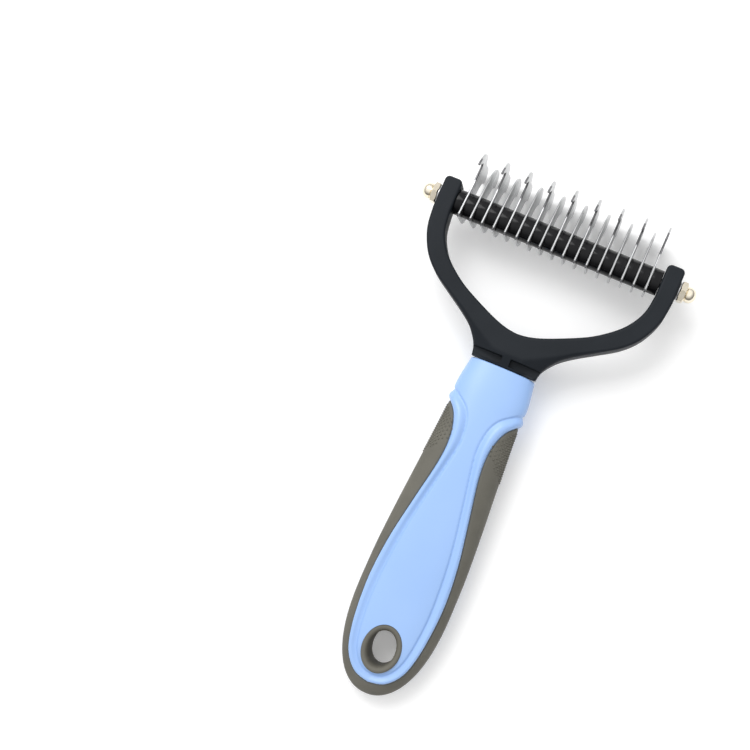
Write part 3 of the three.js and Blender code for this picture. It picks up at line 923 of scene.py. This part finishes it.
def make_grip(rubber):
    verts, faces = [], []
    for side in (1, -1):
        (rows, columns), outer, inner = grip_side(side)
        first, second = len(verts), len(verts) + len(outer)
        verts += [*outer, *inner]
        faces += grid_faces(rows, columns, first=first)
        faces += grid_faces(rows, columns, first=second)
        open_rows = len(panel_edge())
        front = [r * columns for r in range(open_rows)]
        back = [r * columns + columns - 1 for r in range(open_rows)]
        for line in (front, back):
            for i, j in zip(line[:-1], line[1:]):
                faces.append((first + i, first + j, second + j, second + i))
        for c in range(columns - 1):
            faces.append((first + c, first + c + 1, second + c + 1, second + c))
    body = new_object("grip_body", verts, faces, [rubber])
    grip = join("rubber_grip", body, stipple(1, rubber), stipple(-1, rubber))
    finish_piece(grip, "handle", ["grip_overmould"], sharp=50)


def make_ring(rubber):
    """The oval lining of the hanging hole, with rounded lips."""
    half = (RING_FRONT_Z - RING_BACK_Z) / 2
    lip = [(0, half - 0.9), (0.08, half - 0.5), (0.3, half - 0.18), (0.7, half), (1.15, half - 0.02)]
    lip += [(1.6, half - 0.2), (1.88, half - 0.55), (RING_WALL, half - 1.0)]
    profile = [*lip, *[(o, -z) for o, z in reversed(lip)]]
    sides = 120
    verts = []
    for offset, z in profile:
        for a in 2 * math.pi * np.arange(sides) / sides:
            x = (HOLE_HALF[0] + RING_WALL - offset) * math.cos(a)
            y = HOLE_Y + (HOLE_HALF[1] + RING_WALL - offset) * math.sin(a)
            verts.append((x, y, HANDLE_MID_Z + z))
    faces = grid_faces(len(profile), sides, closed=True)
    last = (len(profile) - 1) * sides
    faces += [(last + k, last + (k + 1) % sides, (k + 1) % sides, k) for k in range(sides)]
    ring = new_object("hanging_ring_lining", verts, faces, [rubber])
    finish_piece(ring, "handle", ["hang_ring"], sharp=60)


# ---------------------------------------------------------------- stage

def make_camera():
    """The photograph's view: above the handle's waist, a little right, turned in the picture."""
    data = bpy.data.cameras.new("camera")
    data.sensor_width = 36
    data.lens = 57.6
    data.shift_x = -0.1067
    data.clip_start = 0.01
    camera = bpy.data.objects.new("camera", data)
    place = HEAD_TO_ROW @ Vector((36.4, -94.3, 440.1))
    turn = Euler([math.radians(a) for a in (6.657, 4.445, 23.426)], "XYZ")
    camera.matrix_world = Matrix.Translation(place) @ turn.to_matrix().to_4x4()
    bpy.context.scene.collection.objects.link(camera)
    bpy.context.scene.camera = camera


def make_floor():
    """The surface under the rake: it carries the back claws and the butt, so it is tilted a little."""
    claw = Vector((0, 15.6, CLAW_BACK_Z))
    butt = Vector((0, HOLE_Y, RING_BACK_Z))
    along_rake = (claw - butt).normalized()
    across = Vector((1, 0, 0))
    reach = 6000
    signs = ((-1, -1), (1, -1), (1, 1), (-1, 1))
    corners = [claw + across * a * reach + along_rake * b * reach for a, b in signs]
    mesh = bpy.data.meshes.new("floor")
    mesh.from_pydata([HEAD_TO_ROW @ c for c in corners], [], [(0, 1, 2, 3)])
    mesh.materials.append(floor_paint())
    floor = bpy.data.objects.new("floor", mesh)
    bpy.context.scene.collection.objects.link(floor)
    floor.location.z -= FLOOR_GAP


def area_light(name, place, target, size, power):
    data = bpy.data.lights.new(name, "AREA")
    data.shape = "RECTANGLE"
    data.size, data.size_y = size
    data.energy = power
    light = bpy.data.objects.new(name, data)
    start, end = Vector(place), Vector(target)
    light.location = start
    light.rotation_euler = (end - start).to_track_quat("-Z", "Y").to_euler()
    bpy.context.scene.collection.objects.link(light)


def make_lights():
    """A soft box: bright overhead and darker towards the horizon, with one gentle key light."""
    world = bpy.data.worlds.new("studio")
    world.use_nodes = True
    tree = world.node_tree
    background = tree.nodes["Background"]
    background.inputs["Color"].default_value = (1.0, 1.0, 1.0, 1)
    direction = tree.nodes.new("ShaderNodeTexCoord")
    lean = tree.nodes.new("ShaderNodeVectorMath")
    lean.operation = "DOT_PRODUCT"
    lean.inputs[1].default_value = SKY_TOP
    rise = tree.nodes.new("ShaderNodeMapRange")
    for key, number in SKY_RISE.items():
        rise.inputs[key].default_value = number
    tree.links.new(direction.outputs["Generated"], lean.inputs[0])
    tree.links.new(lean.outputs["Value"], rise.inputs["Value"])
    tree.links.new(rise.outputs["Result"], background.inputs["Strength"])
    bpy.context.scene.world = world
    area_light("key", (-0.40, 0.45, 0.80), (0, 0.02, 0), (0.55, 0.55), 4)
    bpy.context.scene.view_settings.view_transform = "Standard"


make_camera()
make_blades(blade_steel(), ground_steel_and_painted_shade())
make_spacers(spacer_plastic())
steel = rod_steel()
make_rod(steel)
make_washers(steel)
make_nuts(nut_metal())
make_fork(fork_plastic())
make_core(handle_plastic())
rubber = grip_rubber()
make_grip(rubber)
make_ring(rubber)
make_floor()
make_lights()
